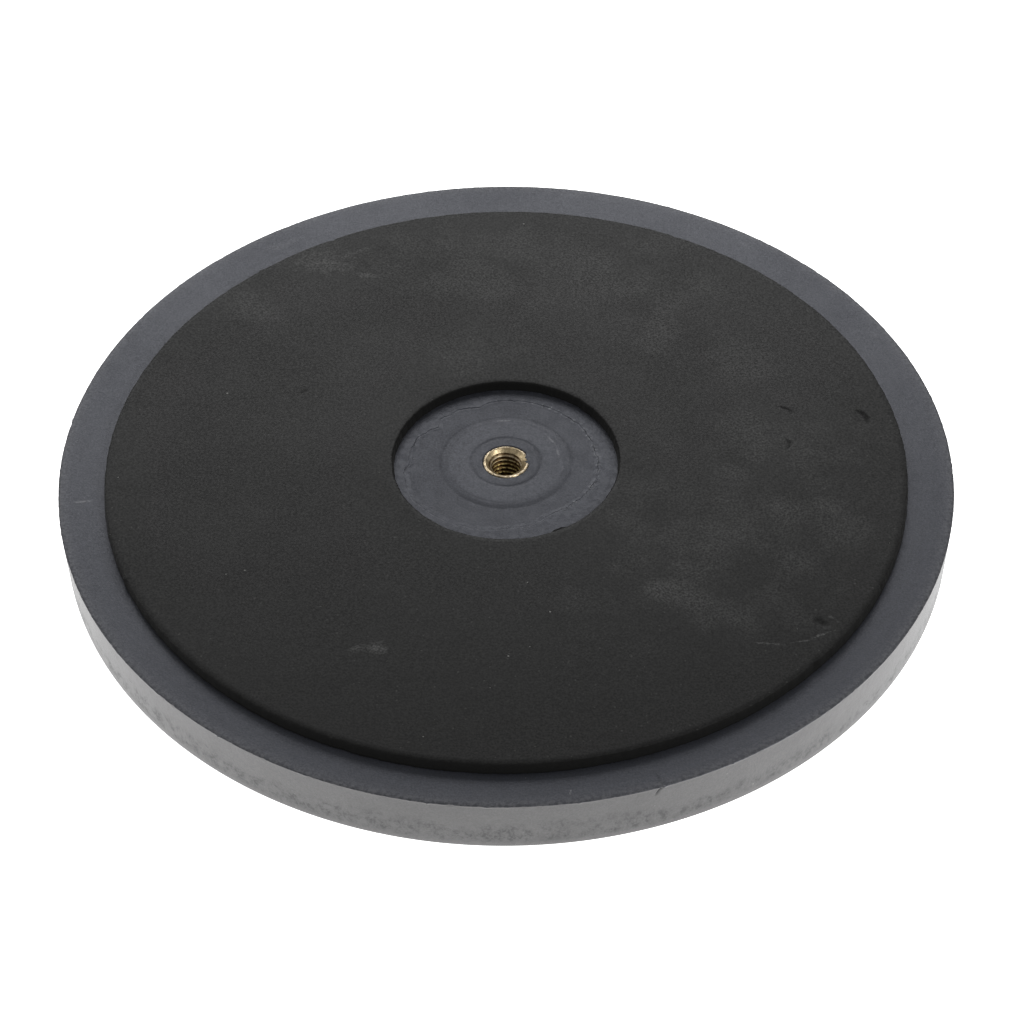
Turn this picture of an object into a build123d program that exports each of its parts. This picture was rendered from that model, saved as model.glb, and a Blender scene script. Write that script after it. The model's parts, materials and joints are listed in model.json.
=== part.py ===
"""Round rubber practice pad with a foam underside and a moulded-in brass thread.

Millimetres, +Z up. The pad lies on its playing face, so the foam underside and the
mouth of the thread look up. The origin is the middle of the playing face.

Pieces: rubber_disc, adhesive_film, foam_ring, threaded_insert.
"""

import os
from math import radians, tan

from build123d import *

# Rubber disc
pad_diameter = 203.2  # across the back edge, where the disc is widest
pad_thickness = 13.5  # playing face to back face
wall_draft = 2.0  # degrees; the wall narrows towards the playing face
playing_edge_radius = 0.6
back_edge_chamfer = 0.2

# Low boss that the mould leaves round the thread, and the ring that its core pin prints there
boss_diameter = 28.8
boss_height = 0.15
boss_slope = 60.0  # degrees from the vertical
core_ring_diameter = 16.0
core_ring_width = 0.5
core_ring_depth = 0.25

# Foam ring and the dried adhesive under it
rim_width = 10.5  # bare rubber outside the foam
foam_hole_diameter = 51.6
foam_thickness = 2.3
foam_edge_radius = 0.5  # the cutting die rolls the foam's edges over
film_thickness = 0.15
film_setback = 1.0  # from the foam's outer edge
film_squeeze_out = 3.0  # beyond the foam, into its hole

# Brass insert with a blind M8 x 1.25 thread; the bore is cut plain at the minor diameter
thread_minor_diameter = 6.647
mouth_lip = 0.7
countersink_angle = 100.0
insert_diameter = 10.5
insert_length = 9.5
insert_end_wall = 1.2
insert_proud = 0.1  # above the boss
collar_height = 1.5
waist_width = 1.3
waist_depth = 0.8
flange_diameter = 15.0
flange_thickness = 1.5
knurl_count = 24
knurl_depth = 0.4
knurl_width = 0.8

# Places that follow from the sizes above
back_radius = pad_diameter / 2
playing_radius = back_radius - pad_thickness * tan(radians(wall_draft))
boss_top = pad_thickness + boss_height
film_top = pad_thickness + film_thickness
foam_top = film_top + foam_thickness
boss_radius = boss_diameter / 2
boss_top_radius = boss_radius - boss_height * tan(radians(boss_slope))
foam_outer_radius = back_radius - rim_width
foam_hole_radius = foam_hole_diameter / 2
insert_top = boss_top + insert_proud
insert_bottom = insert_top - insert_length
insert_radius = insert_diameter / 2
waist_radius = insert_radius - waist_depth
flange_radius = flange_diameter / 2
flange_top = insert_bottom + flange_thickness
knurl_length = (insert_length - collar_height - waist_width - flange_thickness) / 2
waist_bottom = flange_top + knurl_length
waist_top = waist_bottom + waist_width
bore_depth = insert_length - insert_end_wall

# The insert's outside: a collar, two knurled bands with a waist between, and a flange at the
# closed end that keeps it from being pulled out of the rubber
with BuildPart() as insert_blank:
    with BuildSketch(Plane.XZ):
        with BuildLine():
            Polyline(
                (0, insert_bottom),
                (flange_radius, insert_bottom),
                (flange_radius, flange_top),
                (insert_radius, flange_top),
                (insert_radius, waist_bottom),
                (waist_radius, waist_bottom),
                (waist_radius, waist_top),
                (insert_radius, waist_top),
                (insert_radius, insert_top),
                (0, insert_top),
                close=True,
            )
        make_face()
    revolve(axis=Axis.Z)
    for band_bottom in (flange_top, waist_top):
        with BuildSketch(Plane.XY.offset(band_bottom)):
            with PolarLocations(insert_radius, knurl_count):
                Polygon(
                    (-knurl_depth, 0),
                    (knurl_depth, -knurl_width),
                    (knurl_depth, knurl_width),
                    align=None,
                )
        extrude(amount=knurl_length, mode=Mode.SUBTRACT)

with BuildPart() as threaded_insert:
    add(insert_blank.part)
    with Locations((0, 0, insert_top)):
        CounterSinkHole(
            radius=thread_minor_diameter / 2,
            counter_sink_radius=insert_radius - mouth_lip,
            depth=bore_depth,
            counter_sink_angle=countersink_angle,
        )
threaded_insert.part.label = "threaded_insert"

# One moulding: its wall, the boss on its back and the rubber that fills the knurls
with BuildPart() as rubber_disc:
    with BuildSketch(Plane.XZ):
        with BuildLine():
            Polyline(
                (0, 0),
                (playing_radius, 0),
                (back_radius, pad_thickness),
                (boss_radius, pad_thickness),
                (boss_top_radius, boss_top),
                (0, boss_top),
                close=True,
            )
        make_face()
    revolve(axis=Axis.Z)
    round_edges = rubber_disc.edges().filter_by(GeomType.CIRCLE)
    fillet(round_edges.sort_by(Axis.Z)[0], playing_edge_radius)
    chamfer(round_edges.sort_by(SortBy.RADIUS)[-1], back_edge_chamfer)
    with BuildSketch(Plane.XY.offset(boss_top)):
        Circle((core_ring_diameter + core_ring_width) / 2)
        Circle((core_ring_diameter - core_ring_width) / 2, mode=Mode.SUBTRACT)
    extrude(amount=-core_ring_depth, mode=Mode.SUBTRACT)
    add(insert_blank.part, mode=Mode.SUBTRACT)
rubber_disc.part.label = "rubber_disc"

with BuildPart() as adhesive_film:
    with BuildSketch(Plane.XY.offset(pad_thickness)):
        Circle(foam_outer_radius - film_setback)
        Circle(foam_hole_radius - film_squeeze_out, mode=Mode.SUBTRACT)
    extrude(amount=film_thickness)
adhesive_film.part.label = "adhesive_film"

with BuildPart() as foam_ring:
    with BuildSketch(Plane.XY.offset(film_top)):
        Circle(foam_outer_radius)
        Circle(foam_hole_radius, mode=Mode.SUBTRACT)
    extrude(amount=foam_thickness)
    fillet(foam_ring.faces().sort_by(Axis.Z)[-1].edges(), foam_edge_radius)
foam_ring.part.label = "foam_ring"

os.makedirs("parts", exist_ok=True)
for piece in (rubber_disc, adhesive_film, foam_ring, threaded_insert):
    export_step(piece.part, f"parts/{piece.part.label}.step")
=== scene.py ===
"""The looks of a round rubber practice pad that lies on its playing face.

Four pieces stand for the four parts of the frame: the moulded rubber body, the film of dried
adhesive on its back, the foam ring stuck to that, and the brass insert with its thread.
Everything is in metres, with +Z up out of the thread's mouth.
"""

import json
from math import atan2, cos, exp, pi, radians, sin, tan, tau

import bmesh
import bpy
from bpy.props import FloatProperty, FloatVectorProperty, IntProperty, PointerProperty
from mathutils import Matrix, Vector, noise


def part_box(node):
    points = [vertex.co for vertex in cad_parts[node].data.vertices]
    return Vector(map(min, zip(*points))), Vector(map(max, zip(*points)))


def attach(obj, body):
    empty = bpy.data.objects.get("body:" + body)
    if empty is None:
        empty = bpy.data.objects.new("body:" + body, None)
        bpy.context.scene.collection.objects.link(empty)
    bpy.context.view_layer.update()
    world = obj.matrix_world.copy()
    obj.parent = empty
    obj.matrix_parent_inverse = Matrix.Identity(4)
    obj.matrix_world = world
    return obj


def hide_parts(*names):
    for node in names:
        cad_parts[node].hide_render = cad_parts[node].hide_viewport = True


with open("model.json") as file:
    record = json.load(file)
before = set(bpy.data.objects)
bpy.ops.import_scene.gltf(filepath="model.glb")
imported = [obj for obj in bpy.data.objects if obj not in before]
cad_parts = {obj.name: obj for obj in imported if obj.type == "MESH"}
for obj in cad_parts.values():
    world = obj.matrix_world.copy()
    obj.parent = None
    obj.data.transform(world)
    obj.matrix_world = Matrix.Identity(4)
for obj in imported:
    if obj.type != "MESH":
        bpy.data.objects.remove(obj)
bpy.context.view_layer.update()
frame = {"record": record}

bl_info = {
    "name": "Practice Pad",
    "version": (1, 0, 0),
    "blender": (4, 5, 0),
    "location": "3D View > Sidebar > Practice Pad",
    "description": "Builds a rubber practice pad with a foam ring and a brass thread",
    "category": "Object",
}

MM = 0.001
BODY = "root"

# Places that the frame gives
disc_low, disc_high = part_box("rubber_disc")
film_low, film_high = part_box("adhesive_film")
foam_low, foam_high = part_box("foam_ring")
insert_low, insert_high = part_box("threaded_insert")
thread_mount = next(mount for mount in frame["record"]["mounts"] if mount["name"] == "insert_thread")
thread_floor = thread_mount["pos_m"][2] - thread_mount["dims"]["length_mm"] * MM / 2

# Nibs and nicks that trimming left on the back edge: turn in degrees, width and reach in mm
EDGE_FLAWS = (
    (97, 0.9, 0.14), (122, 1.3, -0.12), (141, 0.8, 0.12), (171, 0.6, 0.10), (203, 0.7, -0.12),
    (233.5, 0.8, 0.22), (240, 0.7, -0.14), (254, 0.5, 0.12), (260.5, 0.9, 0.20), (263, 0.6, -0.16),
    (267.5, 1.1, 0.18), (271.5, 0.5, -0.12), (278, 0.8, 0.16), (288, 1.2, 0.34), (297, 0.6, 0.16),
    (331, 0.7, -0.12), (12, 0.8, 0.12), (44, 0.9, -0.10), (66, 0.6, 0.12),
)
# Torn edge of the adhesive: turn in degrees, distance from the middle in mm
TORN_EDGE = (
    (0, 20.9), (16, 20.7), (28, 21.0), (46, 20.7), (60, 20.8), (80, 20.8), (99, 20.5), (109, 19.6),
    (122, 20.6), (136, 21.0), (143, 19.6), (150, 20.8), (158, 21.9), (172, 22.2), (179, 21.8), (185, 23.0),
    (193, 23.6), (205, 24.2), (228, 23.6), (250, 22.6), (282, 21.0), (300, 20.0), (316, 20.2), (327, 20.8),
    (344, 21.1),
)
# How strongly that edge is cracked, which sinks it and paints shade in the cracks, then how strongly it is
# flaked pale: turn in degrees, share
CRACKED = (
    (0, 0.75), (45, 0.6), (75, 0.3), (100, 0.75), (125, 0.3), (145, 1.0), (165, 0.75), (190, 0.85),
    (206, 0.25), (225, 0.06), (290, 0.06), (312, 0.45), (335, 0.9),
)
FLAKED = (
    (0, 1.0), (48, 0.9), (60, 1.0), (78, 0.25), (120, 0.12), (200, 0.25), (235, 0.05), (300, 0.1),
    (325, 0.9),
)
# Marks pressed into the foam: x, y, length, width, turn in degrees, bow and depth; lengths in mm
FOAM_PRESSES = (
    (64.5, 2.6, 3.4, 0.55, 96, 0.7, 0.28),
    (65.0, 14.0, 4.6, 0.6, 140, 0.5, 0.16),
    (82.6, 11.6, 5.6, 0.8, 118, 0.8, 0.34),
    (67.4, -53.4, 3.6, 1.4, -38, 0.3, 0.24),
    (-47.0, 22.0, 3.0, 0.7, 30, 0.4, 0.10),
)
# Rubbed pale places on the foam: x, y, length, width in mm, turn in degrees, strength
FOAM_SCUFFS = (
    (-43.0, 69.0, 10.0, 6.0, 168, 0.9), (-33.5, 64.0, 5.5, 1.3, 165, 1.1), (-35.5, 73.5, 5.0, 1.3, 20, 0.8),
    (-30.0, -60.0, 6.5, 1.8, 172, 0.9), (-28.0, -58.6, 2.6, 2.2, 30, 0.7),
    (55.8, -59.4, 4.6, 0.50, 174, 1.2), (62.6, -58.8, 4.2, 0.40, 9, 0.8), (67.3, -56.8, 4.0, 0.50, 24, 1.2),
    (70.0, -52.2, 3.0, 0.70, -40, 0.6),
)
# Broad soft clouds on the foam, with the same columns as FOAM_SCUFFS
FOAM_CLOUDS = (
    (-60, 51, 15, 9, 140, 0.42), (33, 42, 24, 11, 12, 0.30), (51, 32, 26, 13, 150, 0.30),
    (-6, 36, 24, 10, 20, 0.26), (24, -46, 16, 12, 40, 0.32), (42, -43, 20, 13, 160, 0.38),
    (50, -26, 46, 36, 60, 0.36), (5, 66, 64, 24, 178, 0.34), (66, -4, 22, 30, 10, 0.16),
)
# Nicks and slivers along the foam's outer edge: turn in degrees, width and reach in mm
FOAM_NICKS = (
    (203.4, 0.8, 0.5), (333.5, 0.9, -0.5), (335, 0.6, 0.25), (316, 2.4, -0.3), (118, 1.4, -0.35),
    (131, 0.9, 0.3), (104, 0.8, 0.25), (62, 1.1, -0.3), (47, 0.8, 0.25), (246, 0.7, 0.25),
)
# Pale streaks and chalky flecks on the rubber's back, with the same columns as FOAM_SCUFFS
BACK_SCUFFS = (
    (10.2, 7.4, 2.4, 0.45, 127, 0.50), (12.0, 2.0, 2.8, 0.45, 98, 0.55), (12.7, -3.0, 2.2, 0.5, 78, 0.35),
    (-0.2, 13.8, 3.2, 0.45, 3, 0.55), (17.0, 14.0, 3.4, 1.6, 140, 0.14), (-16.0, -14.0, 7.0, 4.0, 40, 0.07),
    (4.0, -19.0, 9.0, 3.4, 175, 0.07), (9.8, 18.2, 2.2, 0.6, 155, 0.5),
    (-95.0, -11.5, 3.4, 0.5, 5, 0.8), (12.5, -97.8, 1.0, 0.35, 80, 0.8), (61, 76, 6.0, 2.0, 128, 0.14),
    (88, 44, 5.0, 2.0, 115, 0.14), (-56.0, 78.5, 9.0, 2.5, 35, 0.15), (20, 97, 14.0, 1.5, 170, 0.15),
)


# Sizes and colours ----

# What Blender is told about a property that is a length, an angle, a place or a colour
LENGTH = {"subtype": "DISTANCE", "unit": "LENGTH"}
ANGLE = {"subtype": "ANGLE", "unit": "ROTATION"}
PLACE = {"subtype": "TRANSLATION", "unit": "LENGTH"}
COLOUR = {"subtype": "COLOR"}


class PadRubberSettings(bpy.types.PropertyGroup):
    """Sizes and colours of the rubber moulding."""

    wall_draft: FloatProperty(
        name="Wall Draft", description="Lean of the wall towards the playing face",
        default=radians(2.0), **ANGLE)
    playing_edge: FloatProperty(
        name="Playing Edge", description="Radius of the edge round the playing face",
        default=0.6 * MM, **LENGTH)
    boss_radius: FloatProperty(
        name="Boss Radius", description="Middle of the soft step round the low boss",
        default=14.2 * MM, **LENGTH)
    core_ring_radius: FloatProperty(
        name="Core Ring Radius", description="Groove that the mould's core pin leaves",
        default=8.0 * MM, **LENGTH)
    core_ring_depth: FloatProperty(
        name="Core Ring Depth", description="Depth of that groove",
        default=0.13 * MM, **LENGTH)
    edge_points: IntProperty(
        name="Edge Points", description="Points round the widest ring", default=1440, min=1440)
    back_colour: FloatVectorProperty(
        name="Back Colour", description="Rubber of the back and playing faces",
        default=(0.0175, 0.0190, 0.0232), **COLOUR)
    wall_colour: FloatVectorProperty(
        name="Wall Colour", description="Chalky bloom on the wall",
        default=(0.0860, 0.0842, 0.0850), **COLOUR)
    # The smudge colour also paints the shade in the tear
    smudge_colour: FloatVectorProperty(
        name="Smudge Colour", description="Handled rubber where the bloom is rubbed off",
        default=(0.030, 0.030, 0.031), **COLOUR)


class PadFoamSettings(bpy.types.PropertyGroup):
    """Sizes and colours of the foam ring and of the adhesive under it."""

    shift: FloatProperty(
        name="Off Centre", description="How far the ring was stuck off the disc's middle",
        default=-1.9 * MM, **LENGTH)
    hole_shift: FloatProperty(
        name="Hole Off Centre", description="How far the hole lies off the disc's middle",
        default=-1.1 * MM, **LENGTH)
    hole_radius: FloatProperty(
        name="Hole Radius", description="Radius of the die-cut hole at the rubber",
        default=25.8 * MM, **LENGTH)
    edge_roll: FloatProperty(
        name="Edge Roll", description="Radius that the cutting die rolls the edges to",
        default=0.30 * MM, **LENGTH)
    edge_lean: FloatProperty(
        name="Edge Lean", description="How far the outer cut leans in from its foot",
        default=0.64 * MM, **LENGTH)
    raggedness: FloatProperty(
        name="Raggedness", description="How far the cut edge strays",
        default=0.12 * MM, **LENGTH)
    edge_points: IntProperty(
        name="Edge Points", description="Points round the outer edge", default=1200, min=600)
    colour: FloatVectorProperty(
        name="Foam Colour", description="Skin of the foam",
        default=(0.0047, 0.0047, 0.0045), **COLOUR)
    scuff_colour: FloatVectorProperty(
        name="Scuff Colour", description="Foam where it has been rubbed",
        default=(0.052, 0.052, 0.051), **COLOUR)
    adhesive_colour: FloatVectorProperty(
        name="Adhesive Colour", description="Dried adhesive in the hole",
        default=(0.0172, 0.0186, 0.0228), **COLOUR)


class PadInsertSettings(bpy.types.PropertyGroup):
    """Sizes and colours of the brass insert."""

    thread_radius: FloatProperty(
        name="Thread Radius", description="Major radius of the thread",
        default=4.0 * MM, **LENGTH)
    thread_pitch: FloatProperty(
        name="Thread Pitch", description="Rise of the thread in one turn",
        default=1.25 * MM, **LENGTH)
    body_radius: FloatProperty(
        name="Body Radius", description="Outside of the insert where it shows",
        default=5.25 * MM, **LENGTH)
    minor_radius: FloatProperty(
        name="Minor Radius", description="Radius of the hole that the thread is cut in",
        default=3.42 * MM, **LENGTH)
    lip: FloatProperty(
        name="Lip", description="Width of the flat round the countersink",
        default=0.55 * MM, **LENGTH)
    flange: FloatProperty(
        name="Flange", description="Thickness of the buried flange",
        default=1.5 * MM, **LENGTH)
    waist: FloatProperty(
        name="Waist", description="Height of the waist between the knurled bands",
        default=1.3 * MM, **LENGTH)
    knurls: IntProperty(
        name="Knurls", description="Grooves round each knurled band", default=24, min=3)
    colour: FloatVectorProperty(
        name="Brass Colour", description="Clean machined brass",
        default=(0.62, 0.50, 0.31), **COLOUR)
    lip_colour: FloatVectorProperty(
        name="Lip Colour", description="Brass worn bright on the lip",
        default=(0.76, 0.65, 0.50), **COLOUR)
    crest_colour: FloatVectorProperty(
        name="Crest Colour", description="Brass rubbed clean on the thread's crests",
        default=(0.80, 0.64, 0.26), **COLOUR)
    # Down the bore and at the join with the rubber this brown is also painted shade
    tarnish_colour: FloatVectorProperty(
        name="Tarnish Colour", description="Oil and tarnish down the thread",
        default=(0.10, 0.055, 0.022), **COLOUR)


class PadStageSettings(bpy.types.PropertyGroup):
    """Camera, floor and lights."""

    camera_place: FloatVectorProperty(
        name="Camera Place", description="Where the camera stands",
        default=(0.0, -0.4764, 0.4658), **PLACE)
    camera_aim: FloatVectorProperty(
        name="Camera Aim", description="Point that the camera looks at",
        default=(0.00122, -0.0162, 0.0135), **PLACE)
    camera_roll: FloatProperty(
        name="Camera Roll", description="Lean of the camera",
        default=radians(-0.45), **ANGLE)
    camera_lens: FloatProperty(
        name="Camera Lens", description="Focal length in millimetres on a 36 mm sensor",
        default=101.2)
    floor_glow: FloatProperty(
        name="Floor Glow", description="Light that the lit table gives from below", default=1.43)
    room_light: FloatProperty(
        name="Room Light", description="Brightness of the even light all round", default=0.28)
    back_light: FloatProperty(
        name="Back Light", description="Power of the softbox behind, in watts", default=1.34)
    side_light: FloatProperty(
        name="Side Light", description="Power of the small softbox at the right, in watts", default=2.2)
    low_light: FloatProperty(
        name="Low Light", description="Power of the low reflector at the left, in watts", default=1.5)


# Mesh making ----


def smooth_step(value):
    """0 below 0, 1 above 1 and an easy curve between."""
    value = min(max(value, 0.0), 1.0)
    return value * value * (3 - 2 * value)


def groove(distance, width):
    """1 in the middle of a round-bottomed groove, falling to 0 outside it."""
    return exp(-((distance / width) ** 2))


def unevenness(x, y, z, size, seed=0.0):
    """Smooth noise from about -1 to 1 that changes over the given size."""
    return noise.noise(Vector((x / size + seed, y / size - seed, z / size + 2 * seed)))


def round_unevenness(turn, radius, size, seed=0.0):
    """Noise along a circle, which meets itself after one turn."""
    return unevenness(radius * cos(turn), radius * sin(turn), 0.0, size, seed)


def turn_from(turn, degrees):
    """A turn measured from a place in degrees, at most half a turn either way."""
    return (turn - radians(degrees) + pi) % tau - pi


def swell(turn, degrees, half_width, full=1.0):
    """1 at a place in degrees, easing to 0 away from it; above 1, full keeps it whole for longer."""
    return smooth_step(full - abs(turn_from(turn, degrees)) / radians(half_width))


def flaws_at(flaws, turn, radius):
    """How far the nibs and nicks of an edge, as in EDGE_FLAWS, stand out or in at a turn."""
    return sum(
        reach * MM * groove(turn_from(turn, degrees) * radius, width * MM / 2)
        for degrees, width, reach in flaws)


def around(points, turn):
    """The value at a turn, eased between (degrees, value) points that go round once."""
    degrees = turn * 360 / tau % 360
    for index, (start, value) in enumerate(points):
        end, next_value = points[(index + 1) % len(points)]
        if index + 1 == len(points):
            end += 360
        if start <= degrees < end:
            return value + (next_value - value) * smooth_step((degrees - start) / (end - start))
    return points[0][1]


class Skin:
    """A closed skin laid ring by ring round +Z, with a wear value, which also carries painted highlight,
    and a value for grime and painted shade at each point.
    """

    def __init__(self):
        self.mesh = bmesh.new()
        self.wear = self.mesh.verts.layers.float.new("edge_wear")
        self.dirt = self.mesh.verts.layers.float.new("dirt")
        self.first = None
        self.last = None

    def ring(self, count, place, wear=0.0, dirt=0.0, finish=0, shift=0.0):
        """Lays count points; place, and wear and dirt if they aren't plain numbers, go by the turn."""
        points = []
        for step in range(count):
            turn = tau * step / count
            radius, height = place(turn)
            point = self.mesh.verts.new((radius * cos(turn), shift + radius * sin(turn), height))
            point[self.wear] = wear(turn) if callable(wear) else wear
            point[self.dirt] = dirt(turn) if callable(dirt) else dirt
            points.append(point)
        self.lay(points, finish)

    def tip(self, height):
        """Starts or ends the skin in one point on the axis."""
        self.lay([self.mesh.verts.new((0.0, 0.0, height))])

    def close(self):
        """Joins the last ring to the first, as round a washer."""
        self.join(self.last, self.first)

    def lay(self, points, finish=0):
        """Takes the next ring and joins it to the one before."""
        if self.last is None:
            self.first = points
        else:
            self.join(self.last, points, finish)
        self.last = points

    def join(self, one, other, finish=0):
        """Makes the faces between two rings whose counts are a whole factor apart."""
        many, few = (one, other) if len(one) >= len(other) else (other, one)
        factor = len(many) // len(few)
        if len(few) == 1:
            for step in range(len(many)):
                self.face((few[0], many[step], many[(step + 1) % len(many)]), finish)
            return
        for index, near in enumerate(few):
            far = few[(index + 1) % len(few)]
            run = [many[(index * factor + step) % len(many)] for step in range(factor + 1)]
            if factor == 1:
                self.face((near, far, run[1], run[0]), finish)
                continue
            middle = factor // 2
            self.face((near, far, run[middle]), finish)
            for step in range(factor):
                self.face((near if step < middle else far, run[step], run[step + 1]), finish)

    def face(self, corners, finish):
        """One face in one of the piece's finishes."""
        self.mesh.faces.new(corners).material_index = finish

    def piece(self, name, crease=radians(40), closed=True):
        """Turns the skin into an object with outward normals and smooth shading."""
        if closed and any(not edge.is_manifold for edge in self.mesh.edges):
            raise RuntimeError(f"the skin of {name} isn't closed")
        bmesh.ops.recalc_face_normals(self.mesh, faces=self.mesh.faces[:])
        data = bpy.data.meshes.new(name)
        self.mesh.to_mesh(data)
        self.mesh.free()
        data.polygons.foreach_set("use_smooth", [True] * len(data.polygons))
        data.set_sharp_from_angle(angle=crease)
        made = bpy.data.objects.new(name, data)
        bpy.context.scene.collection.objects.link(made)
        return made


def circle(radius, height):
    """A plain ring for Skin.ring."""
    return lambda turn: (radius, height)


def declare(piece, node, slot, *finishes):
    """Gives a piece its finishes, hangs it under the body's empty and hides the part of the frame that it
    stands for.
    """
    for finish in finishes:
        piece.data.materials.append(finish)
    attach(piece, BODY)
    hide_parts(node)
    return piece


# Shader helpers ----


def add_node(tree, kind, values=None, **settings):
    """Adds a node. A value that is a socket is linked to the input of that name or number."""
    made = tree.nodes.new(kind)
    for name, value in settings.items():
        setattr(made, name, value)
    for name, value in (values or {}).items():
        if isinstance(value, bpy.types.NodeSocket):
            tree.links.new(value, made.inputs[name])
        else:
            made.inputs[name].default_value = value
    return made


def calculate(tree, operation, first, second=0.0, clamp=False):
    """The result of a Math node."""
    values = {0: first, 1: second}
    return add_node(tree, "ShaderNodeMath", values, operation=operation, use_clamp=clamp).outputs[0]


def times(tree, first, second, clamp=False):
    """The product of two values."""
    return calculate(tree, "MULTIPLY", first, second, clamp)


def plus(tree, first, second, clamp=False):
    """The sum of two values."""
    return calculate(tree, "ADD", first, second, clamp)


def ratio(tree, first, second):
    """The first value divided by the second."""
    return calculate(tree, "DIVIDE", first, second)


def between(tree, value, low, high, to_low=0.0, to_high=1.0):
    """Eases a value from one range to another."""
    values = {"Value": value, "From Min": low, "From Max": high, "To Min": to_low, "To Max": to_high}
    made = add_node(tree, "ShaderNodeMapRange", values, interpolation_type="SMOOTHSTEP")
    return made.outputs["Result"]


def blend_colour(tree, factor, under, over):
    """One colour laid over another by a mask. The Mix node's inputs 6 and 7 are its colours."""
    made = add_node(tree, "ShaderNodeMix", data_type="RGBA")
    tree.links.new(factor, made.inputs[0])
    for name, value in ((6, under), (7, over)):
        if isinstance(value, bpy.types.NodeSocket):
            tree.links.new(value, made.inputs[name])
        else:
            made.inputs[name].default_value = (*value, 1.0)
    return made.outputs[2]


def lay(tree, surface, over, mask, share=1.0):
    """A surface colour with a share of another laid over it where a mask says."""
    return blend_colour(tree, mask if share == 1.0 else times(tree, mask, share), surface, over)


def darken(tree, colour, factor):
    """A colour multiplied by a number."""
    made = add_node(tree, "ShaderNodeVectorMath", {0: colour}, operation="SCALE")
    tree.links.new(factor, made.inputs["Scale"])
    return made.outputs["Vector"]


def shade(colour, factor):
    """A plain colour made lighter or darker."""
    return tuple(channel * factor for channel in colour)


def spot(tree):
    """Where on the object the surface is, split into x, y and z."""
    where = add_node(tree, "ShaderNodeTexCoord").outputs["Object"]
    split = add_node(tree, "ShaderNodeSeparateXYZ", {0: where})
    return where, split.outputs["X"], split.outputs["Y"], split.outputs["Z"]


def noise_at(tree, where, scale, detail, roughness):
    """Noise from 0 to 1 at each place."""
    values = {"Vector": where, "Scale": scale, "Detail": detail, "Roughness": roughness}
    return add_node(tree, "ShaderNodeTexNoise", values).outputs["Fac"]


def carried(tree, name):
    """A value that the mesh carries at each point. edge_wear is wear, with a painted highlight at the
    playing edge and on the rubber flap. dirt is painted shade in creases, cracks, gaps, dents and the tear,
    and a darker tone elsewhere.
    """
    return add_node(tree, "ShaderNodeAttribute", attribute_name=name).outputs["Fac"]


def new_group(name, inputs, outputs):
    """An empty node group with number sockets, and its input and output nodes."""
    tree = bpy.data.node_groups.new(name, "ShaderNodeTree")
    for label, value in inputs:
        socket = tree.interface.new_socket(label, in_out="INPUT", socket_type="NodeSocketFloat")
        socket.default_value = value
    for label in outputs:
        tree.interface.new_socket(label, in_out="OUTPUT", socket_type="NodeSocketFloat")
    return tree, tree.nodes.new("NodeGroupInput").outputs, tree.nodes.new("NodeGroupOutput").inputs


def once(build):
    """Builds a node group on its first use and hands out the same one after that."""
    name = build.__name__
    if name not in bpy.data.node_groups:
        build(name)
    return bpy.data.node_groups[name]


def use_group(tree, build, **values):
    """Places a shared group with its own values; underscores stand for spaces."""
    made = add_node(tree, "ShaderNodeGroup", node_tree=once(build))
    for label, value in values.items():
        socket = made.inputs[label.replace("_", " ").title()]
        if isinstance(value, bpy.types.NodeSocket):
            tree.links.new(value, socket)
        else:
            socket.default_value = value
    return made.outputs


# Shared effects ----


def fine_grain(name):
    """Grain of a moulded or foamed surface, with pores of the same size."""
    tree, given, out = new_group(name, (("Grain Size", 0.3 * MM),), ("Grain", "Pores"))
    where = spot(tree)[0]
    scale = ratio(tree, 1.0, given["Grain Size"])
    grain = noise_at(tree, where, scale, 3.0, 0.6)
    cells = add_node(tree, "ShaderNodeTexVoronoi", {"Vector": where, "Scale": scale})
    tree.links.new(grain, out["Grain"])
    tree.links.new(between(tree, cells.outputs["Distance"], 0.05, 0.6), out["Pores"])


def cloudy_patches(name):
    """Soft irregular patches, with a number that moves them elsewhere."""
    inputs = (("Patch Size", 20 * MM), ("Start", 0.45), ("Full", 0.65), ("Stretch", 1.0), ("Seed", 0.0))
    tree, given, out = new_group(name, inputs, ("Mask",))
    where, x, y, z = spot(tree)
    tall = ratio(tree, z, given["Stretch"])
    joined = add_node(tree, "ShaderNodeCombineXYZ", {0: x, 1: y, 2: tall}).outputs[0]
    scale = ratio(tree, 1.0, given["Patch Size"])
    values = {"Vector": joined, "Scale": scale, "W": given["Seed"], "Detail": 5.0, "Roughness": 0.62}
    clouds = add_node(tree, "ShaderNodeTexNoise", values, noise_dimensions="4D").outputs["Fac"]
    tree.links.new(between(tree, clouds, given["Start"], given["Full"]), out["Mask"])


def dust_specks(name):
    """Sparse specks of dust and lint, each of its own size."""
    inputs = (("Spacing", 4 * MM), ("Speck Size", 0.25 * MM), ("Share", 0.3))
    tree, given, out = new_group(name, inputs, ("Mask",))
    where = spot(tree)[0]
    bend = add_node(tree, "ShaderNodeTexNoise", {"Vector": where, "Scale": 1 / (0.35 * MM)})
    push = add_node(
        tree, "ShaderNodeVectorMath", {0: bend.outputs["Color"], 1: (0.0004,) * 3}, operation="MULTIPLY")
    moved = add_node(tree, "ShaderNodeVectorMath", {0: where, 1: push.outputs[0]}, operation="ADD")
    scale = ratio(tree, 1.0, given["Spacing"])
    cells = add_node(tree, "ShaderNodeTexVoronoi", {"Vector": moved.outputs[0], "Scale": scale})
    chance = add_node(tree, "ShaderNodeSeparateColor", {0: cells.outputs["Color"]})
    away = times(tree, cells.outputs["Distance"], given["Spacing"])
    reach = times(tree, given["Speck Size"], chance.outputs[1])
    inside = between(tree, ratio(tree, away, reach), 1.0, 0.5)
    kept = calculate(tree, "LESS_THAN", chance.outputs[0], given["Share"])
    tree.links.new(times(tree, inside, kept), out["Mask"])


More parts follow.
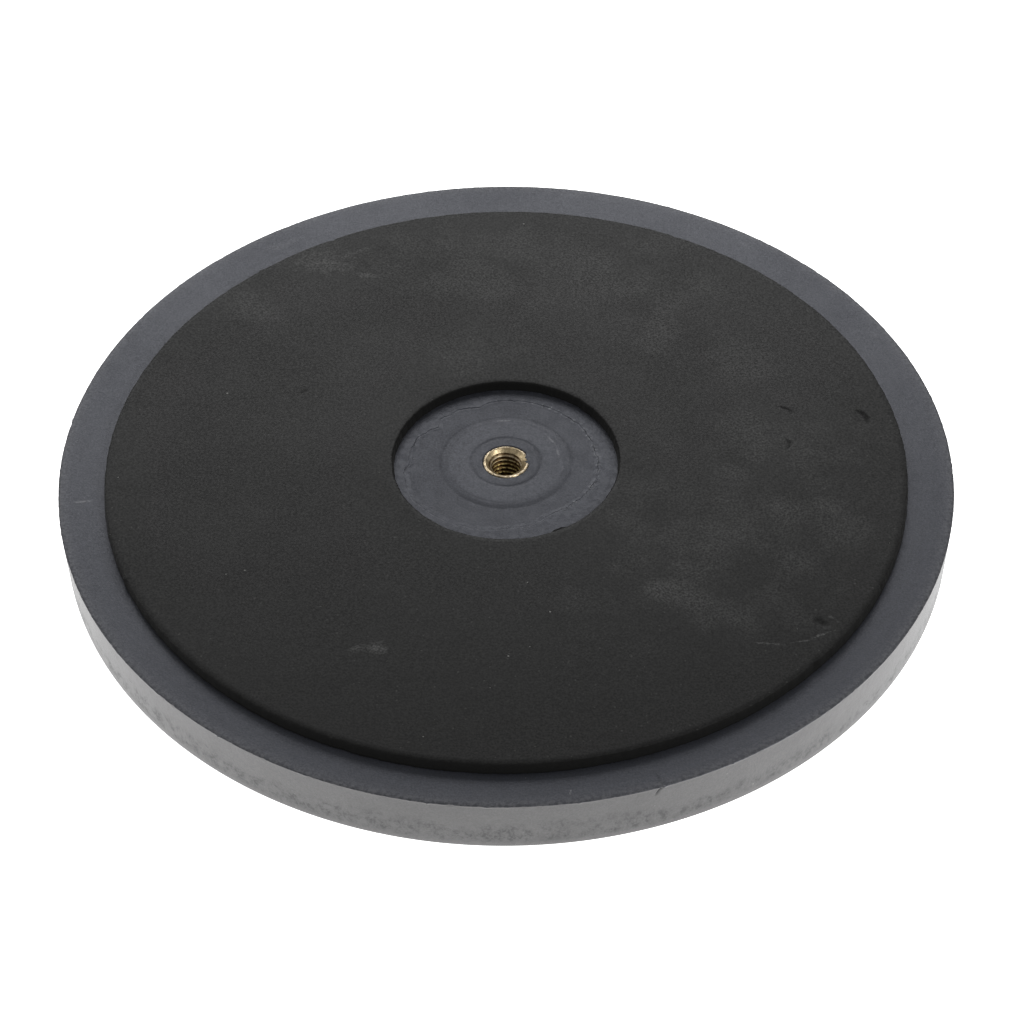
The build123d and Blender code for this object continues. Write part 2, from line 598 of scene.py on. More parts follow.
def edge_wear(name):
    """Wear along edges, with the painted highlight that the wear value carries in places, broken up so that
    it comes and goes.
    """
    inputs = (("Wear", 0.0), ("Break Size", 2 * MM), ("Amount", 1.0))
    tree, given, out = new_group(name, inputs, ("Mask",))
    scale = ratio(tree, 1.0, given["Break Size"])
    broken = noise_at(tree, spot(tree)[0], scale, 4.0, 0.5)
    worn = times(tree, given["Wear"], between(tree, broken, 0.38, 0.62))
    tree.links.new(times(tree, worn, given["Amount"], clamp=True), out["Mask"])


def turned_streaks(name):
    """Fine streaks round the axis, as a turned mould or a turned part has."""
    inputs = (("Streak Width", 0.4 * MM), ("Streak Length", 25 * MM))
    tree, given, out = new_group(name, inputs, ("Streaks",))
    _, x, y, z = spot(tree)
    square = plus(tree, times(tree, x, x), times(tree, y, y))
    radius = plus(tree, calculate(tree, "SQRT", square), z)
    along = ratio(tree, 1.0, given["Streak Length"])
    across = ratio(tree, 1.0, given["Streak Width"])
    parts = {0: times(tree, x, along), 1: times(tree, y, along), 2: times(tree, radius, across)}
    joined = add_node(tree, "ShaderNodeCombineXYZ", parts).outputs[0]
    tree.links.new(noise_at(tree, joined, 1.0, 3.0, 0.65), out["Streaks"])


def rubbed_place(name):
    """One rubbed place of a given length and width, ragged at its edge."""
    inputs = (
        ("Place X", 0.0), ("Place Y", 0.0), ("Length", 10 * MM), ("Width", 4 * MM), ("Turn", 0.0),
        ("Rag Size", 3.2 * MM), ("Rag Detail", 6.0))
    tree, given, out = new_group(name, inputs, ("Mask",))
    where, x, y, _ = spot(tree)
    east = calculate(tree, "SUBTRACT", x, given["Place X"])
    north = calculate(tree, "SUBTRACT", y, given["Place Y"])
    cosine = calculate(tree, "COSINE", given["Turn"])
    sine = calculate(tree, "SINE", given["Turn"])
    along = plus(tree, times(tree, east, cosine), times(tree, north, sine))
    across = calculate(tree, "SUBTRACT", times(tree, north, cosine), times(tree, east, sine))
    long_share = ratio(tree, along, given["Length"])
    wide_share = ratio(tree, across, given["Width"])
    away = plus(tree, times(tree, long_share, long_share), times(tree, wide_share, wide_share))
    scale = ratio(tree, 1.0, given["Rag Size"])
    ragged = noise_at(tree, where, scale, given["Rag Detail"], 0.7)
    broken = calculate(tree, "SUBTRACT", between(tree, ragged, 0.3, 0.7), away)
    tree.links.new(between(tree, broken, -0.2, 0.9), out["Mask"])


# Materials ----

# Slightly blue reflection of the rubber and the adhesive
COOL_TINT = (0.86, 0.885, 1.0, 1.0)


def new_material(name):
    """An empty material with a Principled shader; gives the material, its tree and the shader."""
    made = bpy.data.materials.new(name)
    made.use_nodes = True
    tree = made.node_tree
    tree.nodes.clear()
    shader = tree.nodes.new("ShaderNodeBsdfPrincipled")
    output = tree.nodes.new("ShaderNodeOutputMaterial")
    tree.links.new(shader.outputs[0], output.inputs["Surface"])
    return made, tree, shader


def finish_surface(tree, shader, colour, roughness, layers):
    """Links colour and roughness, and stacks bump layers of (height socket, depth in metres)."""
    tree.links.new(colour, shader.inputs["Base Color"])
    tree.links.new(roughness, shader.inputs["Roughness"])
    normal = None
    for height, depth in layers:
        bump = add_node(tree, "ShaderNodeBump", {"Height": height, "Distance": depth, "Strength": 1.0})
        if normal is not None:
            tree.links.new(normal, bump.inputs["Normal"])
        normal = bump.outputs["Normal"]
    tree.links.new(normal, shader.inputs["Normal"])


def patches(tree, size, start, full, seed, stretch=1.0):
    """The mask of cloudy patches of a size that show between two strengths of the clouds."""
    return use_group(
        tree, cloudy_patches, patch_size=size, start=start, full=full, stretch=stretch, seed=seed)["Mask"]


def dust(tree, spacing, size, share):
    """The mask of dust specks."""
    return use_group(tree, dust_specks, spacing=spacing, speck_size=size, share=share)["Mask"]


def broken_wear(tree, wear, size, amount):
    """The mask of wear that comes and goes over a size."""
    return use_group(tree, edge_wear, wear=wear, break_size=size, amount=amount)["Mask"]


def lay_scuffs(tree, surface, marks, colour, rag_size=3.2 * MM, rag_detail=6.0):
    """Lays rubbed places over a surface colour."""
    for x, y, length, width, turn, strength in marks:
        rubbed = use_group(
            tree, rubbed_place, place_x=x * MM, place_y=y * MM, length=length * MM, width=width * MM,
            turn=radians(turn), rag_size=rag_size, rag_detail=rag_detail)["Mask"]
        share = times(tree, rubbed, strength * 0.75, clamp=True)
        surface = lay(tree, surface, colour, share)
    return surface


def moulded_rubber(settings):
    """Blue-grey rubber of the back and the playing face, with painted shade in its creases, grooves and the
    gap round the insert, and a pale painted highlight on the rubber flap.
    """
    made, tree, shader = new_material("moulded rubber")
    shader.inputs["Specular IOR Level"].default_value = 0.76
    shader.inputs["Specular Tint"].default_value = COOL_TINT
    bloom = patches(tree, 26 * MM, 0.36, 0.70, 1.0)
    mottle = patches(tree, 2.6 * MM, 0.35, 0.7, 4.0)
    flecks = patches(tree, 0.9 * MM, 0.40, 0.66, 3.0)
    streaks = use_group(tree, turned_streaks, streak_width=0.6 * MM, streak_length=14 * MM)["Streaks"]
    grain = use_group(tree, fine_grain, grain_size=0.45 * MM)["Grain"]
    specks = dust(tree, 3.4 * MM, 0.30 * MM, 0.16)
    wear, shade_and_tone = carried(tree, "edge_wear"), carried(tree, "dirt")
    worn = broken_wear(tree, wear, 0.9 * MM, 0.30)
    colour = tuple(settings.back_colour)
    chalk = shade(settings.wall_colour, 2.2)
    pale = shade(colour, 1.30)
    # Dark rubber for the mottle and flecks, and for the painted shade
    dirt = shade(colour, 0.55)
    surface = lay(tree, colour, pale, bloom, 0.6)
    surface = lay_scuffs(tree, surface, BACK_SCUFFS, chalk)
    surface = lay(tree, surface, dirt, mottle, 0.24)
    surface = lay(tree, surface, dirt, flecks, 0.20)
    surface = darken(tree, surface, between(tree, grain, 0.25, 0.75, 0.60, 1.42))
    surface = darken(tree, surface, between(tree, streaks, 0.3, 0.7, 0.86, 1.14))
    # Painted shade in the creases, the core ring's groove and the gap round the insert, with the darker
    # tone inside the core ring and over the hole's floor
    surface = lay(tree, surface, dirt, shade_and_tone)
    surface = lay(tree, surface, chalk, wear, 0.13)
    surface = lay(tree, surface, chalk, worn)
    surface = lay(tree, surface, (0.26, 0.26, 0.26), specks, 0.4)
    rough = between(tree, bloom, 0.0, 1.0, 0.41, 0.46)
    rough = plus(tree, rough, between(tree, grain, 0.25, 0.75, 0.07, -0.05))
    rough = plus(tree, rough, times(tree, shade_and_tone, 0.20))
    rough = plus(tree, rough, times(tree, flecks, 0.05))
    finish_surface(tree, shader, surface, rough, (
        (grain, 0.024 * MM), (streaks, 0.010 * MM), (mottle, 0.014 * MM), (specks, 0.05 * MM)))
    return made


def bloomed_rubber(settings):
    """The chalky wall, with dark smudges that thicken towards the playing edge, a painted highlight along
    that edge and painted shade in the tear.
    """
    made, tree, shader = new_material("bloomed rubber")
    height = between(tree, spot(tree)[3], 0.0, film_low.z)
    smears = patches(tree, 1.9 * MM, 0.36, 0.66, 7.0, 1.2)
    flecks = patches(tree, 0.55 * MM, 0.40, 0.64, 2.0, 1.3)
    haze = patches(tree, 9 * MM, 0.35, 0.7, 5.0)
    drift = patches(tree, 18 * MM, 0.3, 0.7, 6.0)
    grain = use_group(tree, fine_grain, grain_size=0.42 * MM)
    specks = dust(tree, 3.0 * MM, 0.3 * MM, 0.25)
    wear = carried(tree, "edge_wear")
    worn = broken_wear(tree, wear, 1.2 * MM, 0.6)
    reach = between(tree, drift, 0.0, 1.0, 0.46, 0.90)
    low = calculate(tree, "SUBTRACT", 1.0, ratio(tree, height, reach), clamp=True)
    # The smudges thin out just above the playing edge, which leaves room for its painted highlight
    low = times(tree, between(tree, low, 0.0, 0.6), between(tree, height, 0.02, 0.12, 0.3, 1.0))
    rubbed = times(tree, smears, plus(tree, flecks, 0.3, clamp=True))
    rubbed = times(tree, rubbed, plus(tree, low, 0.06))
    bloom = tuple(settings.wall_colour)
    thin = shade(bloom, 0.84)
    pale = shade(bloom, 1.55)
    dark = tuple(settings.smudge_colour)
    surface = lay(tree, bloom, thin, haze)
    surface = darken(tree, surface, between(tree, grain["Grain"], 0.25, 0.75, 0.84, 1.16))
    surface = blend_colour(tree, times(tree, rubbed, 1.05, clamp=True), surface, dark)
    # Painted shade in the tear, in the smudge colour
    surface = lay(tree, surface, dark, carried(tree, "dirt"))
    # Pale along worn edges; along the playing edge this pale is a painted highlight from the lit table
    surface = lay(tree, surface, pale, wear, 0.5)
    surface = lay(tree, surface, pale, worn)
    surface = lay(tree, surface, (0.38, 0.38, 0.36), specks, 0.3)
    finish_surface(tree, shader, surface, between(tree, rubbed, 0.0, 1.0, 0.36, 0.46), (
        (grain["Grain"], 0.012 * MM), (flecks, 0.010 * MM), (smears, 0.015 * MM)))
    return made


def black_foam(settings):
    """Fine closed-cell foam with cloudy, rubbed places and lint, painted glints, and painted shade in its
    pressed marks.
    """
    made, tree, shader = new_material("black foam")
    shader.inputs["Sheen Weight"].default_value = 0.04
    shader.inputs["Sheen Roughness"].default_value = 0.45
    shader.inputs["Specular IOR Level"].default_value = 0.205
    clouds = patches(tree, 30 * MM, 0.38, 0.68, 3.0)
    blotches = patches(tree, 8 * MM, 0.40, 0.70, 8.0)
    cells = use_group(tree, fine_grain, grain_size=0.50 * MM)["Grain"]
    fuzz = use_group(tree, fine_grain, grain_size=1.1 * MM)["Grain"]
    painted_glints = dust(tree, 1.3 * MM, 0.34 * MM, 0.35)
    lint = dust(tree, 4.4 * MM, 0.32 * MM, 0.34)
    cut = carried(tree, "edge_wear")
    colour = tuple(settings.colour)
    pale = shade(colour, 2.0)
    open_cells = shade(colour, 1.7)
    surface = lay(tree, colour, pale, clouds, 0.5)
    surface = lay(tree, surface, pale, blotches, 0.3)
    scuffed = tuple(settings.scuff_colour)
    surface = lay_scuffs(tree, surface, FOAM_CLOUDS, scuffed, 16 * MM, 1.5)
    surface = lay_scuffs(tree, surface, FOAM_SCUFFS, scuffed)
    surface = darken(tree, surface, between(tree, cells, 0.28, 0.72, 0.20, 1.80))
    surface = darken(tree, surface, between(tree, fuzz, 0.3, 0.7, 0.80, 1.20))
    # Painted glints: pale specks that stand for light caught by the cells
    surface = lay(tree, surface, (0.09, 0.09, 0.085), painted_glints, 0.26)
    # Painted shade in the pressed marks
    surface = lay(tree, surface, shade(colour, 0.3), carried(tree, "dirt"))
    surface = lay(tree, surface, open_cells, cut)
    surface = lay(tree, surface, (0.30, 0.30, 0.285), lint, 0.8)
    skin = between(tree, clouds, 0.0, 1.0, 0.41, 0.46)
    skin = plus(tree, skin, between(tree, cells, 0.28, 0.72, 0.09, -0.08))
    rough = calculate(tree, "MAXIMUM", cut, carried(tree, "dirt"))
    values = {"Value": rough, "To Min": skin, "To Max": 1.0}
    rough = add_node(tree, "ShaderNodeMapRange", values).outputs[0]
    finish_surface(tree, shader, surface, rough, (
        (cells, 0.016 * MM), (fuzz, 0.014 * MM), (lint, 0.12 * MM)))
    return made


def dried_adhesive(settings):
    """Contact adhesive gone hard, wrinkled, and cracked along its torn edge, with painted shade in the
    cracks.
    """
    made, tree, shader = new_material("dried adhesive")
    shader.inputs["Specular IOR Level"].default_value = 0.74
    shader.inputs["Specular Tint"].default_value = COOL_TINT
    bloom = patches(tree, 7 * MM, 0.38, 0.68, 6.0)
    wrinkles = patches(tree, 1.1 * MM, 0.35, 0.7, 9.0)
    grain = use_group(tree, fine_grain, grain_size=0.45 * MM)
    crumbs = dust(tree, 1.9 * MM, 0.34 * MM, 0.22)
    flakes = broken_wear(tree, carried(tree, "edge_wear"), 0.8 * MM, 0.8)
    colour = tuple(settings.adhesive_colour)
    pale = shade(colour, 1.28)
    dark = shade(colour, 0.25)
    surface = lay(tree, colour, pale, bloom, 0.6)
    surface = darken(tree, surface, between(tree, wrinkles, 0.0, 1.0, 0.86, 1.10))
    surface = darken(tree, surface, between(tree, grain["Grain"], 0.25, 0.75, 0.62, 1.40))
    # Painted shade in the cracks along the torn edge
    surface = lay(tree, surface, dark, carried(tree, "dirt"))
    surface = blend_colour(tree, flakes, surface, (0.30, 0.31, 0.32))
    surface = lay(tree, surface, (0.20, 0.20, 0.20), crumbs, 0.25)
    finish_surface(tree, shader, surface, between(tree, wrinkles, 0.0, 1.0, 0.44, 0.56), (
        (grain["Grain"], 0.014 * MM), (wrinkles, 0.022 * MM), (crumbs, 0.08 * MM)))
    return made


def machined_brass(settings):
    """Turned brass, bright on its lip and brown with oil down the thread, the brown also painted shade down
    the bore and at the join with the rubber.
    """
    made, tree, shader = new_material("machined brass")
    shader.inputs["Metallic"].default_value = 1.0
    top = insert_high.z
    # Darker and browner with depth down the bore: oil and tarnish, and painted shade in the depth
    depth = between(tree, spot(tree)[3], top - 0.9 * MM, top - 4.2 * MM)
    tarnish = patches(tree, 1.4 * MM, 0.40, 0.62, 2.5)
    turning = use_group(tree, turned_streaks, streak_width=0.09 * MM, streak_length=5 * MM)["Streaks"]
    grain = use_group(tree, fine_grain, grain_size=0.16 * MM)
    worn = broken_wear(tree, carried(tree, "edge_wear"), 0.55 * MM, 1.0)
    stain_and_shade = plus(tree, depth, times(tree, tarnish, 0.28))
    stain_and_shade = plus(tree, stain_and_shade, carried(tree, "dirt"), clamp=True)
    surface = blend_colour(tree, stain_and_shade, tuple(settings.colour), tuple(settings.tarnish_colour))
    surface = darken(tree, surface, between(tree, turning, 0.3, 0.7, 0.80, 1.15))
    clean = blend_colour(tree, depth, tuple(settings.lip_colour), tuple(settings.crest_colour))
    surface = lay(tree, surface, clean, worn)
    surface = darken(tree, surface, between(tree, tarnish, 0.0, 1.0, 1.10, 0.78))
    finish_surface(tree, shader, surface, between(tree, grain["Grain"], 0.25, 0.75, 0.46, 0.34), (
        (turning, 0.012 * MM), (grain["Grain"], 0.016 * MM)))
    return made


# Rubber body ----

# Hidden shape of the insert, which its socket in the rubber shares
COLLAR = 1.5 * MM
KNURL_DEPTH = 0.4 * MM
WAIST_DEPTH = 0.8 * MM
LEDGE = 0.02 * MM
# Half the width of the boss's step, and how far the creases outside and inside it lie from its middle
BOSS_STEP = 0.9 * MM
OUTER_CREASE = 0.85 * MM
INNER_CREASE = 0.80 * MM
# Width and drop of the shallow shoulder at the back edge
SHOULDER_WIDTH = 1.6 * MM
SHOULDER_DROP = 0.06 * MM
# Where the short tear in the wall is, in degrees, and how deep and long it is
TEAR_TURN = -72.0
TEAR_DEPTH = 0.32 * MM
TEAR_LENGTH = 2.6 * MM
# Gap between the insert and its socket, so that their skins don't touch
SOCKET_GAP = 0.01 * MM


def edge_flaw(turn, radius):
    """How far the trimmed back edge stands out or in at a turn."""
    offset = 0.022 * MM * round_unevenness(turn, radius, 1.1 * MM)
    offset += 0.035 * MM * round_unevenness(turn, radius, 5 * MM, 3.0)
    offset += 0.16 * MM * max(0.0, round_unevenness(turn, radius, 1.5 * MM, 9.0) - 0.20)
    offset -= 0.26 * MM * max(0.0, round_unevenness(turn, radius, 1.1 * MM, 6.0) - 0.25)
    return offset + flaws_at(EDGE_FLAWS, turn, radius)


def out_of_round(turn):
    """How far the moulding stands out at its back left, where it came warm out of the mould."""
    return 0.34 * MM * swell(turn, 138, 62)


def insert_outline(settings, clearance):
    """Heights and radii of the insert's outside from its mouth down; True where it is knurled."""
    top, bottom = insert_high.z, insert_low.z - clearance
    body = settings.body_radius + clearance
    flange_top = insert_low.z + settings.flange + clearance
    waist_low = (top - COLLAR + flange_top - settings.waist) / 2
    waist_high = waist_low + settings.waist
    slim = body - WAIST_DEPTH
    return (
        (top - COLLAR, body, False),
        (top - COLLAR - 0.05 * MM, body, True),
        (waist_high, body, True),
        (waist_high - LEDGE, slim, False),
        (waist_low, slim, False),
        (waist_low - LEDGE, body, True),
        (flange_top + 0.05 * MM, body, True),
        (flange_top, body, False),
        (flange_top - LEDGE, insert_high.x + clearance, False),
        (bottom, insert_high.x + clearance, False),
    )


def knurled(radius, knurls):
    """The radius at a turn where a band has V grooves."""
    def at(turn):
        apart = (turn * knurls / tau + 0.5) % 1 - 0.5
        across = abs(apart) * tau / knurls * radius
        return radius - max(0.0, KNURL_DEPTH - across)
    return at


def lay_outline(skin, settings, count, clearance):
    """Lays the rings of the insert's outside, which the rubber's socket shares."""
    for height, radius, has_knurls in insert_outline(settings, clearance):
        at = knurled(radius, settings.knurls) if has_knurls else (lambda turn, r=radius: r)
        skin.ring(count, lambda turn, at=at, height=height: (at(turn), height))


def ring_strength(turn, radius, seed):
    """How strongly a moulded ring shows at a turn, from about 0.2 to 1."""
    return 0.6 + 0.55 * round_unevenness(turn, radius, 9 * MM, seed)


def back_height(settings, radius, turn):
    """Height of the rubber's back face: its boss, the rings in it and a slight unevenness."""
    x, y = radius * cos(turn), radius * sin(turn)
    boss = settings.boss_radius
    height = film_low.z
    height += (disc_high.z - film_low.z) * smooth_step((boss + BOSS_STEP - radius) / (2 * BOSS_STEP))
    crease = ring_strength(turn, boss, 5.0)
    height -= 0.040 * MM * crease * groove(radius - boss - OUTER_CREASE, 0.30 * MM)
    height -= 0.035 * MM * crease * groove(radius - boss + INNER_CREASE, 0.28 * MM)
    height -= settings.core_ring_depth * ring_strength(turn, radius, 8.0) * groove(
        radius - settings.core_ring_radius, 0.36 * MM)
    shoulder = max(0.0, radius - disc_high.x + SHOULDER_WIDTH) / SHOULDER_WIDTH
    height -= SHOULDER_DROP * shoulder ** 2
    height += 0.030 * MM * unevenness(x, y, 0.0, 24 * MM)
    height += 0.012 * MM * unevenness(x, y, 0.0, 5 * MM, 2.0)
    return height


def back_dirt(settings, radius):
    """How dark the back face is at a radius: painted shade in the creases of the boss and in the core
    ring's groove, a darker tone inside the core ring, and darker over the hole's floor outside the boss.
    """
    boss, ring = settings.boss_radius, settings.core_ring_radius

    def dirt(turn):
        # Painted shade in the two creases of the boss and in the core ring's groove, patchy round the turn
        amount = 0.42 * groove(radius - boss - OUTER_CREASE, 0.35 * MM) * ring_strength(turn, boss, 5.0)
        amount += 0.36 * groove(radius - boss + INNER_CREASE, 0.33 * MM) * ring_strength(turn, boss, 5.0)
        amount += 0.62 * groove(radius - ring, 0.42 * MM) * ring_strength(turn, ring, 8.0)
        amount *= 1.0 + 0.7 * round_unevenness(turn, radius, 1.6 * MM, 6.0)
        # A darker tone inside the core ring
        inside = smooth_step((ring - radius) / (0.5 * MM))
        amount += inside * (0.20 + 0.20 * round_unevenness(turn, radius, 2 * MM, 4.0))
        # Darker over the hole's floor, outside the boss
        outside = smooth_step((radius - boss + 1.5 * MM) / (2.5 * MM))
        amount += outside * (0.24 + 0.30 * round_unevenness(turn, radius, 4 * MM, 7.0))
        return max(0.0, amount + 0.06)
    return dirt


def tear_depth(point, settings):
    """Depth of the short tear that runs from the back edge down the wall."""
    turn = atan2(point.y, point.x)
    below = film_low.z - point.z
    middle = radians(TEAR_TURN) - below * 0.9 / disc_high.x * (1 - 0.12 * below / MM)
    across = (turn - middle) * disc_high.x
    return TEAR_DEPTH * groove(across, 0.28 * MM) * smooth_step((TEAR_LENGTH - below) / (1.2 * MM))


def refine(mesh, places):
    """Cuts a mesh three times as fine round each place, given as its middle and its reach."""
    for middle, reach in places:
        near = [
            edge for edge in mesh.edges
            if all((end.co - middle).length < reach for end in edge.verts)
        ]
        bmesh.ops.subdivide_edges(mesh, edges=near, cuts=2, use_grid_fill=True)


def build_rubber_body(settings, insert):
    """One moulding: playing face, leaning wall, back face with its boss, and the insert's socket."""
    skin = Skin()
    fine = settings.edge_points
    rubber, wall = 0, 1
    edge = settings.playing_edge
    lean = settings.wall_draft
    thickness = film_low.z
    back_radius = disc_high.x + 0.012 * MM
    playing_radius = back_radius - thickness * tan(lean)
    arc_radius = playing_radius - edge * (1 - sin(lean)) / cos(lean)

    def wobbly(radius, height):
        return lambda turn: (radius + out_of_round(turn), height)

    skin.tip(0.0)
    for share, divisor in ((0.06, 32), (0.18, 16), (0.40, 8), (0.70, 4), (0.90, 2), (1.0, 1)):
        skin.ring(fine // divisor, circle(arc_radius * share, 0.0))
    steps = 5
    for step in range(1, steps + 1):
        angle = -pi / 2 + (pi / 2 - lean) * step / steps
        radius, height = arc_radius + edge * cos(angle), edge + edge * sin(angle)
        # The rounded playing edge gets wear 0.5, which paints it pale: a painted highlight where the lit
        # table lights it
        skin.ring(fine, wobbly(radius, height), wear=0.5, finish=wall)

    def wall_at(height, flaw_share=0.0):
        def place(turn):
            radius = playing_radius + height * tan(lean)
            x, y = radius * cos(turn), radius * sin(turn)
            radius += 0.030 * MM * unevenness(x, y, height, 9 * MM, 1.0)
            radius += 0.012 * MM * unevenness(x, y, height, 2.2 * MM, 4.0)
            radius += out_of_round(turn)
            return radius + flaw_share * edge_flaw(turn, back_radius), height
        return place

    brim = thickness - 0.10 * MM
    for share in (0.14, 0.24, 0.34, 0.44, 0.54, 0.64, 0.72, 0.78, 0.83, 0.875, 0.91, 0.94):
        skin.ring(fine, wall_at(thickness * share), finish=wall)
    skin.ring(fine, wall_at(brim - 0.52 * MM, -0.15), finish=wall)
    skin.ring(fine, wall_at(brim - 0.26 * MM, 0.7), wear=0.5, finish=wall)
    skin.ring(fine, wall_at(brim - 0.08 * MM, 1.0), wear=1.0, finish=wall)

    def lip_at(turn):
        flaw = edge_flaw(turn, back_radius)
        radius = back_radius + out_of_round(turn) - 0.11 * MM + 0.75 * flaw
        return radius, brim + 0.35 * max(flaw, 0.0)

    skin.ring(fine, lip_at, wear=0.9, finish=rubber)

    def back_at(radius):
        return lambda turn: (radius, back_height(settings, radius, turn))

    def rim_at(inset):
        radius = back_radius - inset
        return lambda turn: (
            radius + out_of_round(turn) * (1 - inset / (16 * MM)), back_height(settings, radius, turn))

    rim = ((0.35, 0.9), (0.8, 0.65), (1.3, 0.42), (1.9, 0.22), (2.8, 0.06), (4.2, 0.0), (6.0, 0.0))
    for inset, wear in rim:
        skin.ring(fine, rim_at(inset * MM), wear=wear)
    inner = fine // 3
    open_rim = (8.0, 10.0, 12.0, 14.0, 16.0)
    hidden = (60.0, 35.0)
    floor = (28.0, 27.0, 26.0, 25.0, 24.0, 23.2, 22.4, 21.6, 20.8, 20.0, 19.2, 18.4, 17.6, 16.9, 16.2)
    step_up = (15.7, 15.4, 15.2, 15.05, 14.9, 14.75, 14.5, 14.2, 13.9, 13.65, 13.5, 13.4, 13.25, 13.0, 12.6)
    plateau = (12.0, 11.3, 10.6, 9.9, 9.2)
    ring_groove = (8.7, 8.45, 8.3, 8.15, 8.0, 7.85, 7.7, 7.55, 7.3)
    collar = (6.8, 6.3, 5.9, 5.65, 5.5)
    for inset in open_rim:
        skin.ring(fine, rim_at(inset * MM))
    for radius in hidden + floor + step_up + plateau + ring_groove + collar:
        skin.ring(inner, back_at(radius * MM), dirt=back_dirt(settings, radius * MM))

    def flash(turn):
        """How much of the thin flap of rubber over the insert's mouth there is at a turn."""
        return swell(turn, 8, 14, 1.6)

    def gap_at(turn):
        flap = flash(turn)
        radius = insert.body_radius + 0.08 * MM + 0.04 * MM * round_unevenness(turn, 5 * MM, 0.8 * MM)
        reach = 0.80 * MM * flap * (1 + 0.9 * round_unevenness(turn, 5 * MM, 0.5 * MM, 2.0))
        lift = 0.20 * MM * flap - 0.10 * MM * (1 - flap)
        return radius - reach, back_height(settings, radius, turn) + lift

    # Painted shade down the gap round the insert; the rubber flap over the lip gets wear that paints it
    # pale as a highlight
    skin.ring(inner, gap_at, wear=lambda turn: 0.5 * flash(turn), dirt=0.35)
    skin.ring(inner, circle(insert.body_radius + SOCKET_GAP, disc_high.z - 0.45 * MM), dirt=0.9)
    lay_outline(skin, insert, inner, SOCKET_GAP)
    skin.ring(inner // 4, circle(2 * MM, insert_low.z - SOCKET_GAP))
    skin.tip(insert_low.z - SOCKET_GAP)

    tear_turn = radians(TEAR_TURN - 0.6)
    tear = Vector((disc_high.x * cos(tear_turn), disc_high.x * sin(tear_turn), 12.4 * MM))
    refine(skin.mesh, ((tear, TEAR_LENGTH),))
    for point in skin.mesh.verts:
        if (point.co - tear).length < 4 * MM:
            depth = tear_depth(point.co, settings)
            outward = Vector((point.co.x, point.co.y, 0.0)).normalized()
            point.co -= outward * depth
            # Painted shade: the tear is darkened by its depth
            point[skin.dirt] = min(1.0, depth / (0.28 * MM))
    return skin.piece("rubber_body", radians(32))


# Adhesive film ----


def build_adhesive_film(settings):
    """The film under the foam: it squeezes out into the hole and ends in a cracked, torn edge."""
    skin = Skin()
    count = 720
    under = film_low.z - 0.03 * MM
    thickness = film_high.z - film_low.z
    reach = settings.hole_radius + 2.0 * MM

    def torn(turn):
        radius = around(TORN_EDGE, turn) * MM
        radius += 0.40 * MM * round_unevenness(turn, radius, 2.4 * MM, 1.0)
        return radius + 0.24 * MM * round_unevenness(turn, radius, 0.8 * MM, 2.0)

    def crack(turn):
        patch = smooth_step(0.35 + 2.0 * round_unevenness(turn, 21 * MM, 2.6 * MM, 3.0))
        return patch * around(CRACKED, turn)

    def fullness(turn):
        return 0.45 + 0.55 * min(1.0, 1.4 * around(CRACKED, turn))

    def flake(turn):
        patch = smooth_step(0.40 + 1.7 * round_unevenness(turn, 21 * MM, 0.9 * MM, 4.0))
        return patch * around(FLAKED, turn)

    def sheet_at(offset, lift, cracked=0.0, raised=0.0):
        def place(turn):
            radius = torn(turn) + offset * MM
            x, y = radius * cos(turn), radius * sin(turn)
            wrinkle = 0.014 * MM * unevenness(x, y, 0.0, 1.4 * MM, 3.0)
            height = film_low.z + thickness * lift * fullness(turn) + wrinkle
            return radius, height - cracked * crack(turn) * 0.09 * MM + raised * flake(turn) * 0.08 * MM
        return place

    skin.ring(count, lambda turn: (torn(turn) - 1.5 * MM, under))
    skin.ring(count, sheet_at(-1.1, -0.05))
    skin.ring(count, sheet_at(-0.7, 0.25))
    skin.ring(count, sheet_at(-0.35, 0.45, raised=0.3), wear=lambda turn: 0.5 * flake(turn))
    skin.ring(count, sheet_at(-0.16, 0.55, raised=0.6), wear=flake)
    # Painted shade along the crack lines
    skin.ring(count, sheet_at(-0.05, 0.40, 1.0), dirt=crack)
    skin.ring(count, sheet_at(0.07, 0.45, 1.0), dirt=crack)
    skin.ring(count, sheet_at(0.18, 0.85, raised=1.0), wear=flake)
    skin.ring(count, sheet_at(0.36, 0.90), wear=lambda turn: 0.4 * flake(turn))

    def field_at(share):
        def place(turn):
            start = torn(turn) + 0.36 * MM
            radius = start + (reach - start) * share
            x, y = radius * cos(turn), radius * sin(turn)
            wrinkle = 0.022 * MM * unevenness(x, y, 0.0, 1.6 * MM, 3.0)
            return radius, film_low.z + thickness * 0.9 * fullness(turn) + wrinkle
        return place

    for share in (0.10, 0.22, 0.35, 0.50, 0.66, 0.82, 1.0):
        skin.ring(count, field_at(share))
    outside = film_high.x
    top = film_high.z - 0.02 * MM
    skin.ring(count, circle(0.5 * (reach + outside), top), shift=settings.shift)
    skin.ring(count, circle(outside, top), shift=settings.shift)
    skin.ring(count, circle(outside, under), shift=settings.shift)
    skin.close()
    return skin.piece("adhesive_film_torn")


# Foam ring ----

# Room left inside the frame's box for the skin's relief and for the ragged outer cut
RELIEF_ROOM = 0.045 * MM
RAGGED_ROOM = 0.1 * MM
# How far the hole's wall leans in at its foot, and how far its sliver hangs in
HOLE_LEAN = 0.32 * MM
SLIVER_REACH = 0.62 * MM
# Inside this radius the skin needs only half the points round it
COARSE_REACH = 56 * MM


def press_depth(x, y):
    """How deep the nail marks, dents and the small slit are at a place on the foam."""
    depth = 0.0
    for px, py, length, width, degrees, bow, deep in FOAM_PRESSES:
        east, north = x / MM - px, y / MM - py
        if abs(east) > length or abs(north) > length:
            continue
        turn = radians(degrees)
        along = (east * cos(turn) + north * sin(turn)) / (length / 2)
        across = north * cos(turn) - east * sin(turn) - bow * (along * along - 0.5)
        depth += deep * MM * groove(across, width / 2) * smooth_step(1.25 - abs(along))
    return depth


